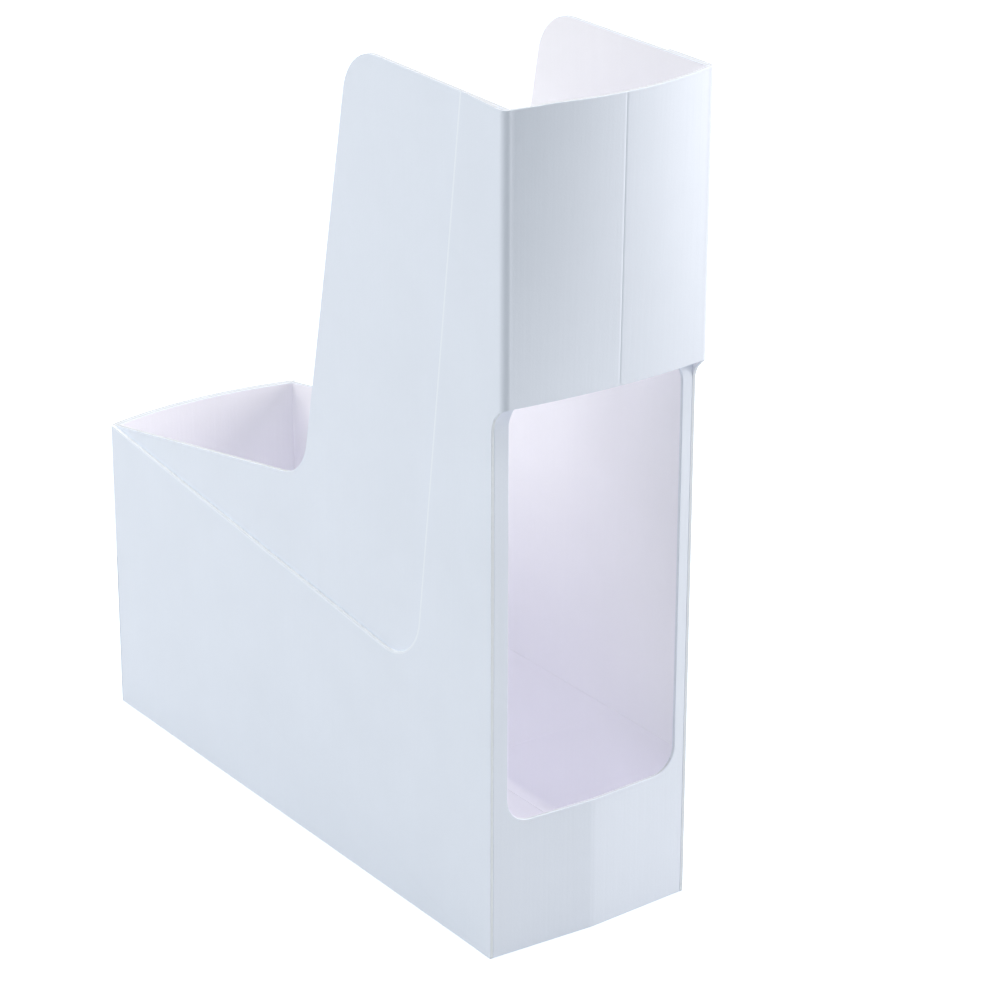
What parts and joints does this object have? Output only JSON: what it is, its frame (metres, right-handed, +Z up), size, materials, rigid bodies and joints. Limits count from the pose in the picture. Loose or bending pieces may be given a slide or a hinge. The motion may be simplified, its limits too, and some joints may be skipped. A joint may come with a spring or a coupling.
{
  "type": "magazine file holder",
  "caption": "Tall folded-board magazine file with sloping cut-away sides, a low bowed front and a window under a top band at the back; it closes flat along its middle creases.",
  "frame": {"origin": "centre of the bounding box's bottom, on the surface the file stands on", "axes": "+Z up, +Y towards the low front where magazines are pulled out, +X from the left side wall to the right one"},
  "size_m": [0.086, 0.2762, 0.3115],
  "materials": {
    "white_board": "smooth white coated board, matt to satin",
    "inner_board": "uncoated pale board with a faint lavender tint, matt"
  },
  "bodies": {
    "left_wall": {"left_wall_outer": "white_board", "left_wall_liner": "inner_board", "left_base_flap": "inner_board"},
    "back_left": {"back_left_panel": "white_board", "back_left_band": "white_board"},
    "back_right": {"back_right_panel": "white_board", "back_right_band": "white_board"},
    "right_wall": {"right_wall_outer": "white_board", "right_wall_liner": "inner_board", "right_base_flap": "inner_board"},
    "front_left": {"front_left_panel": "white_board", "front_left_liner": "inner_board"},
    "front_right": {"front_right_panel": "white_board", "front_right_liner": "inner_board"},
    "floor_left": {"floor_left": "inner_board"},
    "floor_right": {"floor_right": "inner_board"}
  },
  "joints": [
    {"name": "fold_flat", "type": "hinge", "parent": "left_wall", "child": "back_left", "pos_m": [-0.043, -0.1236, 0], "axis": [0, 0, -1], "range_deg": [0, 80]},
    {"name": "back_crease", "type": "hinge", "parent": "back_left", "child": "back_right", "pos_m": [0, -0.1245, 0], "axis": [0, 0, 1], "range_deg": [0, 160]},
    {"name": "right_back_corner", "type": "hinge", "parent": "back_right", "child": "right_wall", "pos_m": [0.043, -0.1236, 0], "axis": [0, 0, -1], "range_deg": [0, 80]},
    {"name": "left_front_corner", "type": "hinge", "parent": "left_wall", "child": "front_left", "pos_m": [-0.043, 0.1324, 0], "axis": [0, 0, 1], "range_deg": [0, 80]},
    {"name": "front_crease", "type": "hinge", "parent": "front_left", "child": "front_right", "pos_m": [0, 0.1333, 0], "axis": [0, 0, -1], "range_deg": [0, 160]},
    {"name": "floor_left_edge", "type": "hinge", "parent": "left_wall", "child": "floor_left", "pos_m": [-0.0382, 0.0044, 0.0013], "axis": [0, -1, 0], "range_deg": [0, 89.6]},
    {"name": "floor_crease", "type": "hinge", "parent": "floor_left", "child": "floor_right", "pos_m": [0, 0.0044, 0], "axis": [0, 1, 0], "range_deg": [0, 179.2]}
  ],
  "couplings": [
    {"joint": "back_crease", "follows": "fold_flat", "ratio": 2},
    {"joint": "right_back_corner", "follows": "fold_flat", "ratio": 1},
    {"joint": "left_front_corner", "follows": "fold_flat", "ratio": 1},
    {"joint": "front_crease", "follows": "fold_flat", "ratio": 2},
    {"joint": "floor_left_edge", "follows": "fold_flat", "ratio": 1.12},
    {"joint": "floor_crease", "follows": "fold_flat", "ratio": 2.24}
  ]
}
